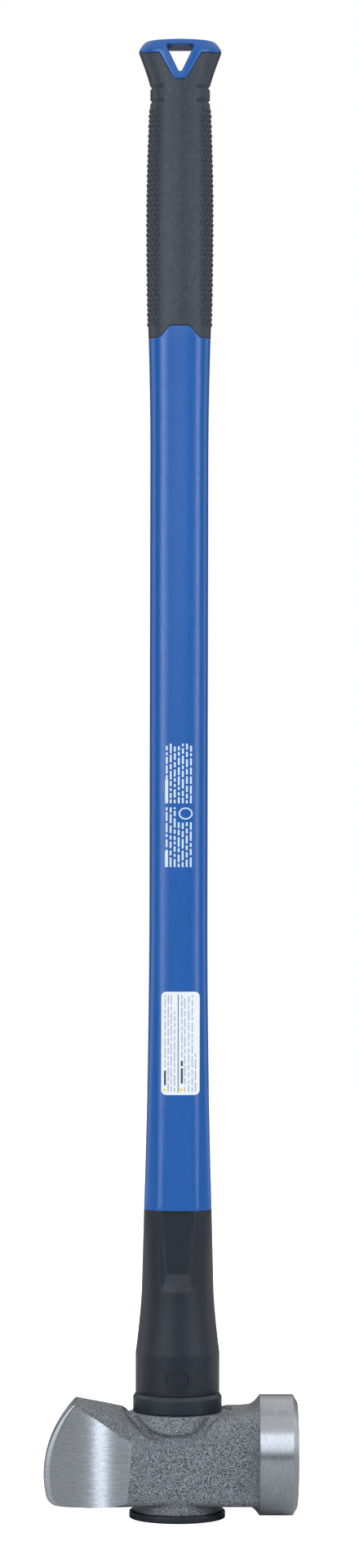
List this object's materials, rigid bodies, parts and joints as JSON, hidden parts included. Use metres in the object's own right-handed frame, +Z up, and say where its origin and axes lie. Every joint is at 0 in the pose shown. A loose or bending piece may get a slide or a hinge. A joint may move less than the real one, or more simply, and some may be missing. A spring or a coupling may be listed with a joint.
{
  "type": "sledgehammer",
  "caption": "Long-handled sledgehammer: forged head with a round face and a straight peen, moulded shaft over a fibreglass core, rubber grip with a triangular hanging hole.",
  "frame": {"origin": "on the handle's axis, at the flat underside of the eye cap that the hammer stands on", "axes": "+Z up the handle, +X along the head towards the round striking face, +Y across the head"},
  "size_m": [0.1583, 0.0744, 0.9144],
  "materials": {
    "forged_steel": "shot-blasted forging with ground face and cheeks",
    "fibreglass": "satin",
    "potting_resin": "satin",
    "black_moulding": "satin moulded",
    "blue_moulding": "satin-gloss moulded",
    "grip_rubber": "soft matt with raised dots at the sides",
    "label_vinyl": "satin printed vinyl"
  },
  "bodies": {
    "root": {"hammer_head": "forged_steel", "core_rod": "fibreglass", "eye_potting": "potting_resin", "eye_cap": "black_moulding", "seat_collar": "black_moulding", "overstrike_sleeve": "black_moulding", "shaft_jacket": "blue_moulding", "grip_sleeve": "grip_rubber", "butt_cap": "blue_moulding", "care_label": "label_vinyl"}
  },
  "joints": []
}
